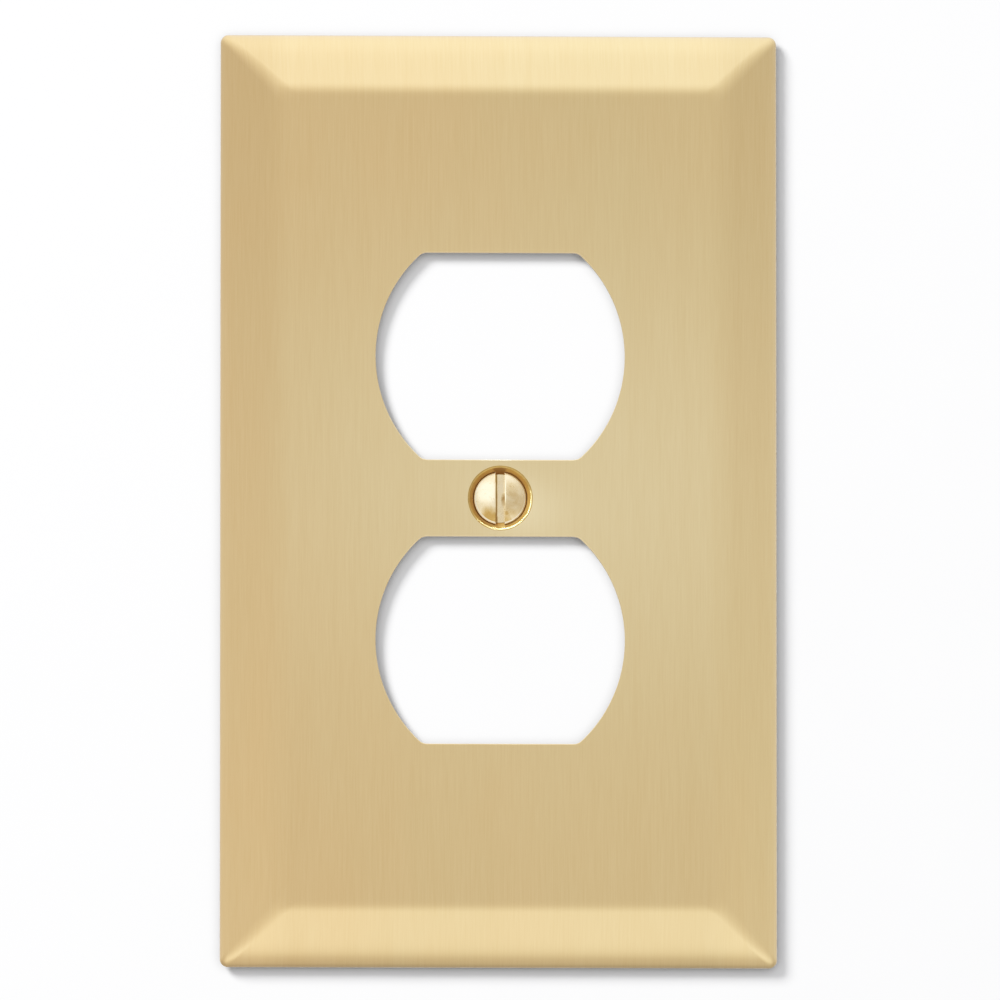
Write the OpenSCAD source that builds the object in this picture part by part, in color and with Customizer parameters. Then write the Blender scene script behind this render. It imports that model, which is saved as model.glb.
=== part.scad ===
// Duplex receptacle wall plate: a pressed sheet-metal faceplate with bevelled
// sides, one oval-head mounting screw and the washer that keeps the screw captive.
// Frame: +Z up, +X to the right as seen from the room, +Y into the wall.
// Origin: on the screw axis, in the plane of the wall that the rim rests on.

/* [Faceplate] */
// Overall width of the plate
plate_w = 76.2; // [72:0.1:90]
// Overall height of the plate
plate_h = 127.9; // [114:0.1:140]
// Distance from the wall to the front face
plate_depth = 6.0; // [5.4:0.1:7]
// Thickness of the sheet
sheet_t = 1.02; // [0.76:0.02:1.2]
// Width of the two side bevels
bevel_side = 8.0; // [7:0.1:10]
// Width of the top and bottom bevels
bevel_end = 8.0; // [7:0.1:10]
// How far the bevel falls from the face to the rim
bevel_drop = 4.2; // [3.6:0.1:4.4]
// Outside radius of the fold between face and bevel
fold_r = 4.2; // [2:0.1:5]
// Outside radius of the rolled rim
rim_r = 2.6; // [1.6:0.1:2.8]
// Radius of the four corners, seen from the front
corner_r = 1.1; // [0.6:0.1:3]

/* [Duplex openings] */
// Distance between the two opening centres
opening_pitch = 38.9; // [38.5:0.05:39.3]
// Width of an opening across its round sides
opening_w = 34.1; // [33.8:0.1:34.6]
// Height of an opening across its flats
opening_h = 28.4; // [28:0.1:29]
// Radius of the round sides
opening_side_r = 18.9; // [17.3:0.1:22]
// Radius where a flat meets a round side
opening_corner_r = 1.5; // [0.5:0.1:2.5]

/* [Screw seat] */
// Diameter of the pressed countersink at the front face
seat_d = 8.5; // [8.4:0.1:9]
// Included angle of the countersink and of the screw head
seat_angle = 82; // [78:1:90]
// Diameter of the clearance hole at the bottom of the seat
seat_hole_d = 4.0; // [3.8:0.1:4.6]
// Depth of the pressed seat below the front face
seat_depth = 2.95; // [2.8:0.05:3.3]

/* [Mounting screw] */
// Diameter of the oval head
head_d = 7.2; // [6.8:0.05:7.3]
// Height of the domed crown above the head's edge
crown_h = 1.05; // [0.8:0.05:1.2]
// Width of the driver slot
slot_w = 1.25; // [0.9:0.05:1.4]
// Depth of the driver slot below the top of the crown
slot_depth = 1.5; // [1.1:0.05:1.7]
// Length of the screw from the head's edge to the tip
screw_l = 12.7; // [12:0.1:16]
// Major diameter of the thread (No. 6)
thread_d = 3.505; // [3.4:0.005:3.55]
// Pitch of the thread (32 per inch)
thread_pitch = 0.79375; // [0.7:0.00625:0.8]
// Diameter of the relieved neck between head and thread
neck_d = 2.99; // [2.8:0.01:3.1]

/* [Retaining washer] */
// Outside diameter of the washer
washer_d = 6.4; // [5.6:0.1:8]
// Thickness of the washer
washer_t = 0.8; // [0.5:0.05:1]
// Running clearance between washer and neck, on the radius
washer_gap = 0.055; // [0.02:0.005:0.1]

/* [Hidden] */
$fn = 96;

overlap = 0.01;         // how far joined solids run into each other
cut_over = 1;           // how far a cutter runs past what it cuts
skin_over = 4;          // surplus on the crossed sections, trimmed by their partners

satin_brass = [0.80, 0.69, 0.46];
bright_brass = [0.86, 0.74, 0.48];
natural_nylon = [0.90, 0.88, 0.82];

inner_corner_r = 0.3;   // corner radius of the inside skin, seen from the front

// Along the screw axis, every position is a depth below the front face.
seat_r = seat_d / 2;
seat_hole_r = seat_hole_d / 2;
seat_half_angle = seat_angle / 2;
seat_slope = tan(seat_half_angle);   // radius lost per unit of depth
seat_cone_depth = (seat_r - seat_hole_r) / seat_slope;
seat_roll_r = 0.35;     // rounding where the face rolls into the seat
seat_gap = 0.02;        // how far the head stands off its seat, on the radius

head_r = head_d / 2;
head_land = 0.12;       // narrow cylindrical edge of the head
head_edge = (seat_r - seat_gap - head_r) / seat_slope - head_land;
crown_sphere_r = (head_r * head_r + crown_h * crown_h) / (2 * crown_h);
neck_r = neck_d / 2;
head_cone_end = head_edge + head_land + (head_r - neck_r) / seat_slope;

thread_r = thread_d / 2;
thread_depth = 0.5413 * thread_pitch;   // depth of a 60 degree unified thread
thread_root_r = thread_r - thread_depth;
thread_crest = thread_pitch / 8;
thread_flank = thread_depth * tan(30);  // axial length of one flank
thread_start = plate_depth;             // the thread begins at the wall plane
screw_tip = head_edge + screw_l;
tip_chamfer = 0.45;

washer_back = thread_start - 0.06;      // just off the thread's shoulder
washer_front = washer_back - washer_t;
washer_chamfer = 0.12;

// The point at distance r from centre, at an angle from the face normal.
function from_normal(centre, r, angle) = centre + r * [sin(angle), cos(angle)];

// Points along an arc, from angle start to angle end, in the given number of steps.
function arc(centre, r, start, end, steps) =
    [for (i = [0 : steps])
        let (angle = start + (end - start) * i / steps)
        centre + r * [cos(angle), sin(angle)]];

// The points followed by their mirror image in the vertical axis, in reverse order.
function with_mirror(points) =
    concat(points, [for (i = [len(points) - 1 : -1 : 0]) [-points[i][0], points[i][1]]]);

// Turns a profile, drawn as radius against depth below the face, about the screw axis.
module about_screw_axis() {
    translate([0, -plate_depth, 0])
        rotate([-90, 0, 0])
            rotate_extrude() children();
}

// ---- faceplate ----

// Cross-section of the pressing, drawn as place across it against distance from the wall.
// half is half the plate's size, bevel the bevel's width, and inset is 0 for the
// outside skin or the sheet thickness for the inside.
module pressing_section(half, bevel, inset) {
    slope = atan(bevel_drop / bevel);
    // distance from the origin to the outside line of the bevel
    bevel_line = (half - bevel) * sin(slope) + plate_depth * cos(slope);
    fold_y = plate_depth - fold_r;
    fold = [(bevel_line - fold_r - fold_y * cos(slope)) / sin(slope), fold_y];
    rim_x = half - rim_r;
    rim = [rim_x, (bevel_line - rim_r - rim_x * sin(slope)) / cos(slope)];

    polygon(with_mirror([
        [half - inset, -skin_over],
        from_normal(rim, rim_r - inset, 90),
        from_normal(rim, rim_r - inset, slope),
        from_normal(fold, fold_r - inset, slope),
        from_normal(fold, fold_r - inset, 0)
    ]));
    for (side = [-1, 1]) {
        translate([side * fold[0], fold[1]]) circle(fold_r - inset);
        translate([side * rim[0], rim[1]]) circle(rim_r - inset);
    }
}

// A centred rectangle with rounded corners.
module outline(w, h, r) {
    difference() {
        square([w, h], center = true);
        for (side_x = [-1, 1], side_z = [-1, 1])
            translate([side_x * (w / 2 - r), side_z * (h / 2 - r)])
                difference() {
                    translate([side_x * r, side_z * r]) square(2 * r, center = true);
                    circle(r);
                }
    }
}

// Solid bounded by one skin of the pressing: side and end sections crossed,
// corners rounded. It runs into the wall by the given distance.
module skin(inset, r, into_wall) {
    intersection() {
        mirror([0, 1, 0])
            linear_extrude(height = plate_h + skin_over, center = true)
                pressing_section(plate_w / 2, bevel_side, inset);
        mirror([0, 1, 0])
            rotate([0, -90, 0])
                linear_extrude(height = plate_w + skin_over, center = true)
                    pressing_section(plate_h / 2, bevel_end, inset);
        translate([0, into_wall, 0])
            rotate([90, 0, 0])
                linear_extrude(height = plate_depth + into_wall + cut_over)
                    outline(plate_w - 2 * inset, plate_h - 2 * inset, r);
    }
}

// Outline of one opening: two flats and two round sides, with eased corners.
module opening_outline() {
    side_x = opening_w / 2 - opening_side_r;   // centre of the right-hand round side
    // the corner's centre lies its radius inside both the flat and the round side
    corner_z = opening_h / 2 - opening_corner_r;
    reach = sqrt(pow(opening_side_r - opening_corner_r, 2) - corner_z * corner_z);
    corner = [side_x + reach, corner_z];
    join = atan2(corner_z, reach);             // angle where side and corner meet

    // the corner arc has eight steps; its first point already ends the side arc
    upper = with_mirror(concat(
        arc([side_x, 0], opening_side_r, 0, join, 24),
        arc(corner, opening_corner_r, join + (90 - join) / 8, 90, 7)
    ));
    // the lower half leaves out the two end points it shares with the upper
    lower = [for (i = [len(upper) - 2 : -1 : 1]) [upper[i][0], -upper[i][1]]];
    polygon(concat(upper, lower));
}

module opening(z) {
    translate([0, cut_over, z])
        rotate([90, 0, 0])
            linear_extrude(height = plate_depth + 2 * cut_over) opening_outline();
}

// The pressed seat, as a solid boss behind the face.
module seat_boss() {
    wall = sheet_t / cos(seat_half_angle);   // the sheet measured along the radius
    about_screw_axis()
        polygon(concat(
            [[0, sheet_t / 2]],
            [for (depth = [sheet_t / 2, sheet_t, seat_depth])
                [seat_r + wall - seat_slope * depth, depth]],
            [[0, seat_depth]]
        ));
}

// The countersink and clearance hole that the screw goes through.
module seat_cut() {
    // the roll is tangent to the face and to the cone
    roll_centre_r = seat_r + seat_roll_r * tan((90 - seat_half_angle) / 2);
    about_screw_axis()
        polygon(concat(
            [[0, -cut_over], [roll_centre_r, -cut_over]],
            arc([roll_centre_r, seat_roll_r], seat_roll_r, -90, seat_half_angle - 180, 6),
            [[seat_hole_r, seat_cone_depth],
             [seat_hole_r, seat_depth + cut_over],
             [0, seat_depth + cut_over]]
        ));
}

module faceplate() {
    color(satin_brass)
        difference() {
            union() {
                difference() {
                    skin(inset = 0, r = corner_r, into_wall = 0);
                    skin(inset = sheet_t, r = inner_corner_r, into_wall = cut_over);
                }
                seat_boss();
            }
            for (side = [-1, 1]) opening(side * opening_pitch / 2);
            seat_cut();
        }
}

// ---- mounting screw ----

module crown() {
    translate([0, head_edge - plate_depth, 0])
        rotate([90, 0, 0])
            intersection() {
                translate([0, 0, crown_h - crown_sphere_r]) sphere(crown_sphere_r);
                translate([0, 0, -overlap]) cylinder(r = head_r, h = crown_h + cut_over);
            }
}

// Profile of the head's land, its countersunk cone and the relieved neck.
module head_and_neck_section() {
    polygon([
        [0, head_edge],
        [head_r, head_edge],
        [head_r, head_edge + head_land],
        [neck_r, head_cone_end],
        [neck_r, thread_start],
        [0, thread_start]
    ]);
}

// Profile of the thread, as separate rings from the shoulder to a chamfered tip.
module thread_section() {
    chamfer_start = screw_tip - tip_chamfer;
    turns = floor((chamfer_start - thread_start) / thread_pitch);
    ridges = [for (i = [0 : turns - 1])
        let (depth = thread_start + i * thread_pitch)
        each [
            [thread_r, depth],
            [thread_r, depth + thread_crest],
            [thread_root_r, depth + thread_crest + thread_flank],
            [thread_root_r, depth + thread_pitch - thread_flank]
        ]];
    polygon(concat(
        [[0, thread_start - overlap], [neck_r - overlap, thread_start - overlap]],
        ridges,
        [[thread_r, thread_start + turns * thread_pitch],
         [thread_r, chamfer_start],
         [thread_r - tip_chamfer, screw_tip],
         [0, screw_tip]]
    ));
}

// The driver slot, upright.
module slot_cut() {
    crown_top = head_edge - crown_h;
    half_length = head_r + cut_over;
    translate([-slot_w / 2, crown_top - plate_depth - cut_over, -half_length])
        cube([slot_w, slot_depth + cut_over, 2 * half_length]);
}

module mounting_screw() {
    color(bright_brass)
        difference() {
            union() {
                crown();
                about_screw_axis() head_and_neck_section();
                about_screw_axis() thread_section();
            }
            slot_cut();
        }
}

// ---- retaining washer ----

// A flat ring on the neck, with both outer edges chamfered.
module retaining_washer() {
    inner_r = neck_r + washer_gap;
    outer_r = washer_d / 2;
    color(natural_nylon)
        about_screw_axis()
            polygon([
                [inner_r, washer_front],
                [outer_r - washer_chamfer, washer_front],
                [outer_r, washer_front + washer_chamfer],
                [outer_r, washer_back - washer_chamfer],
                [outer_r - washer_chamfer, washer_back],
                [inner_r, washer_back]
            ]);
}

faceplate();
mounting_screw();
retaining_washer();
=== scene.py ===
"""A duplex wall plate: a satin brass pressing, its polished screw and the washer behind it.

The wall is the plane y = 0 and the plate stands forward of it, towards -Y. +X is right and +Z
is up as seen from the front, and the screw's axis runs along Y through the plate's centre.
Shapes are worked out in millimetres and become metres as their meshes are made.
"""

import math

import bmesh
import bpy
import numpy as np
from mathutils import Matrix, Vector


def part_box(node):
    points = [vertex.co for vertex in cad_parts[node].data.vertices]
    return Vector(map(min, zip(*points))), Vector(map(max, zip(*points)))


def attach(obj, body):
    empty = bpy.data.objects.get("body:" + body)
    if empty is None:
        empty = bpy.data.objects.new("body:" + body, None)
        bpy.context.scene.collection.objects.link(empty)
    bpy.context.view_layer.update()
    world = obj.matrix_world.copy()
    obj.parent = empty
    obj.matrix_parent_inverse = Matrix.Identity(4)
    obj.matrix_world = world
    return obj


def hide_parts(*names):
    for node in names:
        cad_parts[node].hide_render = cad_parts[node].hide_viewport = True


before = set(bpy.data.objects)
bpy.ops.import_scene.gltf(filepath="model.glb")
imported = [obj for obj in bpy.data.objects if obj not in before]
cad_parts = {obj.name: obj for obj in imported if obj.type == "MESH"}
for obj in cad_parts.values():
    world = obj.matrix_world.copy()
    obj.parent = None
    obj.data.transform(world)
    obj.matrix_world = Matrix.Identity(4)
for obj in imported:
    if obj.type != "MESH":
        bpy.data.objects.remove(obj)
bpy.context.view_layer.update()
MM = 0.001
QUARTER = math.pi / 2

# ---------------------------------------------------------------- dimensions, millimetres

plate_low, plate_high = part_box("faceplate")
WIDTH = (plate_high[0] - plate_low[0]) / MM
HEIGHT = (plate_high[2] - plate_low[2]) / MM
RISE = -plate_low[1] / MM  # from the wall to the front face

SHEET = 1.02
BEVEL_SIDE, BEVEL_END = 8.0, 8.0  # width of the bevel at the sides, and at top and bottom
END_RATIO = BEVEL_END / BEVEL_SIDE
BEVEL_TOP = math.radians(26.0)  # slope where the bevel meets the fold; it steepens to the lip
FOLD_REACH = 1.45  # how far the soft fold reaches each side of the crease
FOLD_STEPS = 16
RIM_END = 0.24  # height at which the rolled rim stands square to the wall
LIP_ROUND = 0.14
CORNER_R = 1.1
CORNER_GAIN = 0.10  # how fast the corner radius opens as the bevel climbs

PITCH = 38.9  # between the centres of the openings
OPEN_W, OPEN_H, OPEN_SIDE_R, OPEN_CORNER_R = 34.1, 28.4, 18.9, 1.5
EDGE_ROLL = 0.13  # rolled front edge of each opening
EDGE_BREAK = 0.05  # smaller rounding of its back edge

SEAT_R, SEAT_HALF, SEAT_DEPTH, HOLE_R = 4.25, math.radians(41), 2.95, 2.0
SEAT_ROLL = 0.42  # how softly the face turns down into the countersink
SEAT_EDGE = SEAT_R + SEAT_ROLL * math.tan((QUARTER - SEAT_HALF) / 2)
SEAT_BACK_R = 4.86  # where the back of the sheet turns down to the boss
SINK, SINK_REACH, SINK_END = 0.04, 1.5, 16  # the sheet is drawn in round the seat

screw_low, screw_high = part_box("mounting_screw")
TOP_Y = screw_low[1] / MM
TIP_Y = screw_high[1] / MM
HEAD_R, CROWN, LAND, NECK_R = 3.6, 1.05, 0.12, 1.495
EDGE_Y = TOP_Y + CROWN  # where the crown meets the head's land
CROWN_R = (HEAD_R**2 + CROWN**2) / (2 * CROWN)
MAJOR_R, THREAD_PITCH = 1.7525, 25.4 / 32
ROOT_R = MAJOR_R - 0.5413 * THREAD_PITCH
SLOT_HALF, SLOT_FLOOR = 1.25 / 2, TOP_Y + 1.5
SLOT_BREAK_X, SLOT_BREAK_Y = 0.14, 0.065  # broken edges of the slot
TURNS = 96  # points round the screw and the washer

washer_low, washer_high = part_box("retaining_washer")
WASHER_FRONT, WASHER_BACK = washer_low[1] / MM, washer_high[1] / MM
WASHER_R, WASHER_HOLE_R = washer_high[0] / MM, NECK_R + 0.06
WASHER_ROUND, WASHER_HOLE_ROUND = 0.13, 0.06


# ---------------------------------------------------------------- mesh helpers


def smoothstep(x):
    return x * x * (3 - 2 * x)


def new_mesh(name, points, faces):
    mesh = bpy.data.meshes.new(name)
    mesh.from_pydata([Vector(p) * MM for p in points], [], faces)
    return mesh


def turn_outward(mesh):
    """Makes all the faces of a closed mesh look outward."""
    bm = bmesh.new()
    bm.from_mesh(mesh)
    bmesh.ops.recalc_face_normals(bm, faces=bm.faces)
    bm.to_mesh(mesh)
    bm.free()


def new_object(name, data):
    obj = bpy.data.objects.new(name, data)
    bpy.context.scene.collection.objects.link(obj)
    return obj


class Shell:
    """Vertices with their own normals and sheet coordinates, and quads over them."""

    def __init__(self):
        self.points, self.normals, self.uvs = [], [], []
        self.faces, self.slots = [], []

    def vertex(self, point, normal, uv):
        self.points.append(point)
        self.normals.append(normal)
        self.uvs.append(uv)
        return len(self.points) - 1

    def strip(self, loop, other, slot=0):
        """Quads between two closed loops of the same length."""
        for i in range(len(loop)):
            j = (i + 1) % len(loop)
            self.faces.append((loop[i], loop[j], other[j], other[i]))
            self.slots.append(slot)

    def build(self, name, materials):
        mesh = new_mesh(name, self.points, self.faces)
        for mat in materials:
            mesh.materials.append(mat)
        mesh.polygons.foreach_set("material_index", self.slots)
        turn_outward(mesh)
        layer = mesh.uv_layers.new(name="sheet")
        uv = np.array(self.uvs, dtype=float) * MM
        corners = np.empty(len(mesh.loops), dtype=int)
        mesh.loops.foreach_get("vertex_index", corners)
        layer.data.foreach_set("uv", uv[corners].astype(np.float32).ravel())
        mesh.polygons.foreach_set("use_smooth", [True] * len(mesh.polygons))
        normals = np.array(self.normals, dtype=float)
        normals /= np.linalg.norm(normals, axis=1)[:, None]
        mesh.normals_split_custom_set_from_vertices([tuple(n) for n in normals])
        mesh.update()
        return new_object(name, mesh)


# ---------------------------------------------------------------- section of the pressing
# A station of the section is (inset from the outline, height off the wall, slope).


def follow(slopes):
    """The running x and y of a path that takes unit steps at these slopes."""
    middle = (slopes[1:] + slopes[:-1]) / 2
    x = np.concatenate([[0], np.cumsum(np.cos(middle))])
    y = np.concatenate([[0], np.cumsum(np.sin(middle))])
    return x, y


def fold_path():
    """The fold from the bevel to the face, with its curvature easing in and out."""
    fine_steps = 400
    s = np.linspace(0, 1, fine_steps + 1)
    slope = BEVEL_TOP * (1 - (3 * s**2 - 2 * s**3))
    x, y = follow(slope)
    # the crease splits the fold into two equal tangents
    scale = FOLD_REACH / (y[-1] / math.sin(BEVEL_TOP))
    inset = BEVEL_SIDE - FOLD_REACH * math.cos(BEVEL_TOP)
    height = RISE - FOLD_REACH * math.sin(BEVEL_TOP)
    picks = np.linspace(0, fine_steps, FOLD_STEPS + 1).astype(int)
    return [(inset + x[i] * scale, height + y[i] * scale, slope[i]) for i in picks]


def outer_path():
    """The outside of the pressing, from the foot of the lip to the flat face."""
    fold = fold_path()
    run_x = fold[0][0]
    run_y = fold[0][1] - RIM_END
    fine_steps = 1200
    u = np.linspace(0, 1, fine_steps + 1)
    # bisect for the power that lands the sweep on the lip
    low, high = 1.5, 12.0
    for _ in range(50):
        power = (low + high) / 2
        slope = BEVEL_TOP + (QUARTER - BEVEL_TOP) * u**power
        x, y = follow(slope)
        if y[-1] / x[-1] > run_y / run_x:
            low = power
        else:
            high = power
    scale = run_x / x[-1]
    x, y = x * scale, y * scale
    path = [(0.0, RIM_END * 0.62, QUARTER)]
    # stations crowd towards the lip; the last would repeat the start of the fold
    for q in np.linspace(1, 0, 40)[:-1]:
        i = int(round(fine_steps * (1 - (1 - q) ** 1.7)))
        path.append((run_x - x[i], RIM_END + run_y - y[i], slope[i]))
    return path + fold


OUTER = outer_path()
FLAT_INSET = OUTER[-1][0]
FLAT_HALF_X = WIDTH / 2 - FLAT_INSET
FLAT_HALF_Z = HEIGHT / 2 - FLAT_INSET * END_RATIO
FLAT_CORNER_R = CORNER_R + CORNER_GAIN * FLAT_INSET

# Two seams part the face into an upper, a middle and a lower cell
SEAM_Z = 4.98
SEAM_STEPS = 4  # ring steps from the side's middle to a seam
SEAM_FAN = 58.5  # degrees of the seam's inner part, as seen from the screw


def seam_stations():
    """The x of the seam's points from left to right, without its ends."""
    near = [SEAM_Z / math.tan(math.radians(90 - SEAM_FAN * i / 24)) for i in range(25)]
    half = near + list(np.linspace(near[-1], FLAT_HALF_X, 30))[1:-1]
    return [-x for x in half[::-1]][:-1] + half


def ring_layout():
    """Where each point of a ring lies: (part, fraction or angle, x sign, z sign).

    The points run counter-clockwise from +X, as seen from the front.
    """
    seam = SEAM_Z / (FLAT_HALF_Z - FLAT_CORNER_R)
    quarter = [("side", seam * i / SEAM_STEPS) for i in range(SEAM_STEPS)]
    quarter += [("side", seam + (1 - seam) * i / 44) for i in range(44)]
    quarter += [("corner", QUARTER * i / 14) for i in range(15)]
    quarter += [("end", 1 - i / 26) for i in range(1, 27)]  # stops at the middle of the top
    back = quarter[::-1]
    parts = ((quarter, 1, 1), (back[1:], -1, 1), (quarter[1:], -1, -1), (back[1:-1], 1, -1))
    return [(part, f, sx, sz) for points, sx, sz in parts for part, f in points]


RING = ring_layout()
SEAM_X = seam_stations()


def ring_point(item, half_x, half_z, radius):
    """Place and outward normal of a point on a rounded rectangle: x, z, nx, nz."""
    part, f, sx, sz = item
    if part == "side":
        return sx * half_x, sz * f * (half_z - radius), 1.0 * sx, 0.0
    if part == "end":
        return sx * f * (half_x - radius), sz * half_z, 0.0, 1.0 * sz
    c, s = math.cos(f), math.sin(f)
    x = sx * (half_x - radius + radius * c)
    z = sz * (half_z - radius + radius * s)
    return x, z, sx * c, sz * s


# ---------------------------------------------------------------- openings


def opening_curve():
    """One opening's outline about its centre: angles, rows of x, z, nx, nz, and its joints."""
    shift = OPEN_SIDE_R - OPEN_W / 2
    flat = OPEN_H / 2
    r = OPEN_CORNER_R
    corner_z = flat - r
    corner_x = math.sqrt((OPEN_SIDE_R - r) ** 2 - corner_z**2) - shift
    meet = math.atan2(corner_z, corner_x + shift)
    points = []
    for t in np.linspace(0, meet, 400, endpoint=False):
        c, s = math.cos(t), math.sin(t)
        points.append((-shift + OPEN_SIDE_R * c, OPEN_SIDE_R * s, c, s))
    for t in np.linspace(meet, QUARTER, 120, endpoint=False):
        c, s = math.cos(t), math.sin(t)
        points.append((corner_x + r * c, corner_z + r * s, c, s))
    for x in np.linspace(corner_x, 0, 200):
        points.append((x, flat, 0.0, 1.0))
    right = np.array(points)
    upper = np.vstack([right, right[::-1][1:] * [-1, 1, -1, 1]])
    full = np.vstack([upper, upper[::-1][1:-1] * [1, -1, 1, -1]])
    angles = np.unwrap(np.arctan2(full[:, 1], full[:, 0]))
    joints = []
    for j in (
        math.atan2(corner_z + r * math.sin(meet), corner_x + r * math.cos(meet)),
        math.atan2(flat, corner_x),
    ):
        joints += [j, math.pi - j, math.pi + j, 2 * math.pi - j]
    # the first point again, a full turn on, closes the table
    angles = np.concatenate([angles, [angles[0] + 2 * math.pi]])
    return angles, np.vstack([full, full[:1]]), sorted(joints)


OPEN_ANGLES, OPEN_ROWS, OPEN_JOINTS = opening_curve()


def opening_at(angle):
    """The opening's outline point and outward normal in a direction from its centre."""
    angle = angle % (2 * math.pi)
    x, z, nx, nz = [np.interp(angle, OPEN_ANGLES, OPEN_ROWS[:, k]) for k in range(4)]
    length = math.hypot(nx, nz)
    return x, z, nx / length, nz / length


def cell_angles(points, centre_z, joints=()):
    """Directions of a cell's edge points from its hole, the nearest moved onto each joint."""
    angles = np.unwrap([math.atan2(z - centre_z, x) for x, z in points])
    for joint in joints:
        miss = (angles - joint + math.pi) % (2 * math.pi) - math.pi
        i = int(np.argmin(np.abs(miss)))
        angles[i] = angles[i] - miss[i]
    return angles


def opening_edge():
    """Section of the punched edge from front to back: setback, height, inward, forward."""
    rows = []
    for i in range(1, 6):
        c, s = math.cos(QUARTER * i / 5), math.sin(QUARTER * i / 5)
        rows.append((EDGE_ROLL - EDGE_ROLL * s, RISE - EDGE_ROLL + EDGE_ROLL * c, s, c))
    for f in (0.4, 0.8):
        rows.append((0.0, RISE - EDGE_ROLL - (SHEET - EDGE_ROLL - EDGE_BREAK) * f, 1.0, 0.0))
    for i in range(3):
        c, s = math.cos(QUARTER * i / 3), math.sin(QUARTER * i / 3)
        height = RISE - SHEET + EDGE_BREAK - EDGE_BREAK * s
        rows.append((EDGE_BREAK - EDGE_BREAK * c, height, c, -s))
    return rows


# ---------------------------------------------------------------- screw seat


def seat_section():
    """Section of the countersink and its boss: radius, depth below the face, outward, forward.

    Also gives how many of its rows belong to the countersink.
    """
    cone, turn = math.tan(SEAT_HALF), QUARTER - SEAT_HALF
    c, s = math.cos(SEAT_HALF), math.sin(SEAT_HALF)
    rows = []
    for i in range(1, 9):
        t = turn * i / 8
        radius = SEAT_EDGE - SEAT_ROLL * math.sin(t)
        rows.append((radius, SEAT_ROLL - SEAT_ROLL * math.cos(t), -math.sin(t), math.cos(t)))
    radius, depth = rows[-1][:2]
    end = (SEAT_R - HOLE_R) / cone
    for f in (0.25, 0.5, 0.75, 0.96):
        rows.append((radius + (HOLE_R - radius) * f, depth + (end - depth) * f, -c, s))
    countersink = len(rows)
    # the hole's wall and the boss's end
    outside = SEAT_R + SHEET / c  # of the cone, carried up to the face
    boss = outside - cone * SEAT_DEPTH
    rows += [
        (HOLE_R, end + 0.03, -1, 0.05),
        (HOLE_R, SEAT_DEPTH - 0.05, -1, 0),
        (HOLE_R + 0.05, SEAT_DEPTH, -0.1, -1),
        (boss - 0.1, SEAT_DEPTH, 0, -1),
        (boss - 0.03, SEAT_DEPTH - 0.02, 0.38, -0.92),
        (boss + 0.045, SEAT_DEPTH - 0.08, c, -s),
    ]
    # the boss's cone and the fillet into the back of the sheet
    fillet = 0.3
    tangent = fillet * math.tan(turn / 2)
    radius, depth = rows[-1][:2]
    root = outside - cone * SHEET
    top_radius, top_depth = root - tangent * s, SHEET + tangent * c
    for f in (0.33, 0.66, 1.0):
        rows.append((radius + (top_radius - radius) * f, depth + (top_depth - depth) * f, c, -s))
    for i in range(1, 6):
        t = turn * (1 - i / 6)
        radius = root + tangent - fillet * math.sin(t)
        depth = SHEET + fillet - fillet * math.cos(t)
        rows.append((radius, depth, math.sin(t), -math.cos(t)))
    return rows, countersink


# ---------------------------------------------------------------- faceplate

FACE_SLOT, BACK_SLOT, SEAT_SLOT = 0, 1, 2


def skin_normal(slope, side):
    """Outward and forward parts of a skin's normal; side is 1 outside and -1 inside."""

    def normal(nx, nz):
        spread = (1 + CORNER_GAIN) * nx + (END_RATIO + CORNER_GAIN) * nz - CORNER_GAIN
        return side * math.sin(slope), side * math.cos(slope) * spread

    return normal


def add_ring(shell, inset, height, radius, normal, run):
    """A loop round the pressing; run is its distance over the sheet from the flat."""
    loop = []
    for item in RING:
        half_x, half_z = WIDTH / 2 - inset, HEIGHT / 2 - inset * END_RATIO
        x, z, nx, nz = ring_point(item, half_x, half_z, radius)
        outward, forward = normal(abs(nx), abs(nz))
        u = x + nx * (run - FLAT_INSET + inset)
        v = z + nz * (run - (FLAT_INSET - inset) * END_RATIO)
        loop.append(
            shell.vertex((x, -height, z), (outward * nx, -forward, outward * nz), (u, v))
        )
    return loop


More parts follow.
